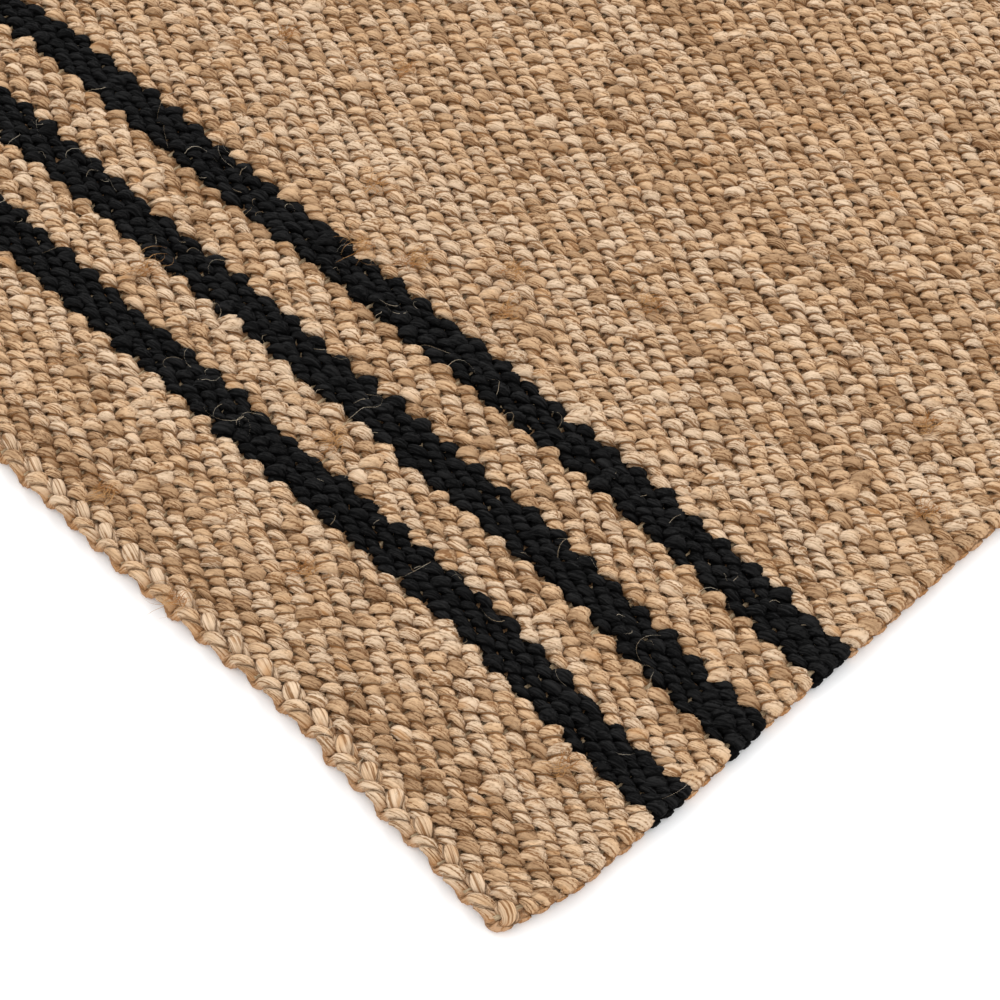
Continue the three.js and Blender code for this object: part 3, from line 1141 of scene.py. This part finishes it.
def pale_fibre():
    """Single loose fibres."""
    material, tree, shader = new_material("pale_fibre", 0.6)
    patches = stretched_noise(tree, object_place(tree), 60, 60)
    base = ramp(tree, patches, ((0.4, (0.45, 0.33, 0.2)), (0.6, (0.72, 0.62, 0.47))))
    tree.links.new(base.socket, shader.inputs["Base Color"])
    return material


def tuft_fibre():
    """Short rusty fibres of a tuft."""
    material, tree, shader = new_material("tuft_fibre", 0.75)
    patches = stretched_noise(tree, object_place(tree), 90, 90)
    base = ramp(tree, patches, ((0.4, (0.34, 0.14, 0.035)), (0.6, (0.48, 0.26, 0.10))))
    tree.links.new(base.socket, shader.inputs["Base Color"])
    return material


def deep_jute():
    """The inside of the weave: jute darkened with painted shade."""
    material, tree, shader = new_material("deep_jute", 0.95)
    fibres = stretched_noise(tree, object_place(tree), 900, 900, detail=2)
    # Painted shade: darker jute where the inside of the weave shows between the yarns
    base = ramp(tree, fibres, ((0.35, (0.13, 0.065, 0.028)), (0.65, (0.27, 0.16, 0.08))))
    tree.links.new(base.socket, shader.inputs["Base Color"])
    bump(tree, shader, fibres, 0.0004)
    return material


def floor_material():
    """Plain pale floor."""
    material, _, shader = new_material("pale_floor", 0.9)
    shader.inputs["Base Color"].default_value = FLOOR_COLOUR
    return material


# ---------------------------------------------------------------- stage


FLOOR_HALF_SIDE = 12
SKY_STRENGTH = 1.25

# Each light's place, size and power in watts
LIGHTS = {
    "key_light": ((-1.5, 1.1, 2.3), 1.5, 42),
    "fill_light": ((2.2, -1.8, 2.6), 2.4, 20),
}


class RUNNER_OT_stage(bpy.types.Operator):
    """Set the floor, the lights and the camera"""

    bl_idname = "runner.stage"
    bl_label = "Stage"

    def execute(self, context):
        self.floor()
        self.sky(context.scene)
        for name, (place, size, power) in LIGHTS.items():
            self.area_light(name, Vector(place), size, power)
        self.camera(context.scene)
        return {"FINISHED"}

    def floor(self):
        side = FLOOR_HALF_SIDE
        mesh = bpy.data.meshes.new("floor")
        corners = [(-side, -side, 0), (side, -side, 0), (side, side, 0), (-side, side, 0)]
        mesh.from_pydata(corners, [], [(0, 1, 2, 3)])
        mesh.materials.append(floor_material())
        floor = bpy.data.objects.new("floor", mesh)
        bpy.context.scene.collection.objects.link(floor)

    def sky(self, scene):
        world = bpy.data.worlds.new("soft_studio")
        world.use_nodes = True
        background = world.node_tree.nodes["Background"]
        background.inputs["Color"].default_value = (1, 1, 1, 1)
        background.inputs["Strength"].default_value = SKY_STRENGTH
        scene.world = world

    def area_light(self, name, place, size, power):
        light = bpy.data.lights.new(name, "AREA")
        light.size = size
        light.energy = power
        lamp = bpy.data.objects.new(name, light)
        lamp.location = place
        lamp.rotation_euler = (-place).to_track_quat("-Z", "Y").to_euler()
        bpy.context.scene.collection.objects.link(lamp)

    def camera(self, scene):
        stage = scene.runner_stage
        aim = Vector((CAD_HIGH.x - stage.aim_in, CAD_LOW.y + stage.aim_along, CAD_HIGH.z))
        flat = math.cos(stage.elevation)
        back = Vector((
            math.sin(stage.azimuth) * flat, -math.cos(stage.azimuth) * flat,
            math.sin(stage.elevation),
        ))
        data = bpy.data.cameras.new("camera")
        data.lens = stage.lens
        data.clip_start = 0.05
        camera = bpy.data.objects.new("camera", data)
        turn = (-back).to_track_quat("-Z", "Y").to_matrix().to_4x4()
        camera.matrix_world = Matrix.Translation(aim + back * stage.distance) @ turn
        scene.collection.objects.link(camera)
        scene.camera = camera
        scene.view_settings.view_transform = "Standard"


# ---------------------------------------------------------------- panel and registration


class RUNNER_PT_panel(bpy.types.Panel):
    """The runner's sizes, colours and pieces"""

    bl_idname = "RUNNER_PT_panel"
    bl_label = "Striped Jute Runner"
    bl_space_type = "VIEW_3D"
    bl_region_type = "UI"
    bl_category = "Runner"

    def draw(self, context):
        scene = context.scene
        for settings in (scene.runner_weave, scene.runner_colours, scene.runner_stage):
            box = self.layout.box()
            for name in settings.__annotations__:
                box.prop(settings, name)
        for operator in OPERATORS:
            self.layout.operator(operator.bl_idname)


OPERATORS = (
    RUNNER_OT_stage,
    RUNNER_OT_weft,
    RUNNER_OT_end_cords,
    RUNNER_OT_warp,
    RUNNER_OT_stray_fibres,
    RUNNER_OT_core,
)
SETTINGS = (
    ("runner_weave", RunnerWeave),
    ("runner_colours", RunnerColours),
    ("runner_stage", RunnerStage),
)


def register():
    for name, group in SETTINGS:
        bpy.utils.register_class(group)
        setattr(bpy.types.Scene, name, bpy.props.PointerProperty(type=group))
    for part in (*OPERATORS, RUNNER_PT_panel):
        bpy.utils.register_class(part)


def unregister():
    for part in (RUNNER_PT_panel, *reversed(OPERATORS)):
        bpy.utils.unregister_class(part)
    for name, group in reversed(SETTINGS):
        delattr(bpy.types.Scene, name)
        bpy.utils.unregister_class(group)


def main():
    register()
    bpy.ops.runner.stage()
    bpy.ops.runner.weft()
    bpy.ops.runner.end_cords()
    bpy.ops.runner.warp()
    bpy.ops.runner.stray_fibres()
    bpy.ops.runner.core()


if __name__ == "__main__":
    main()
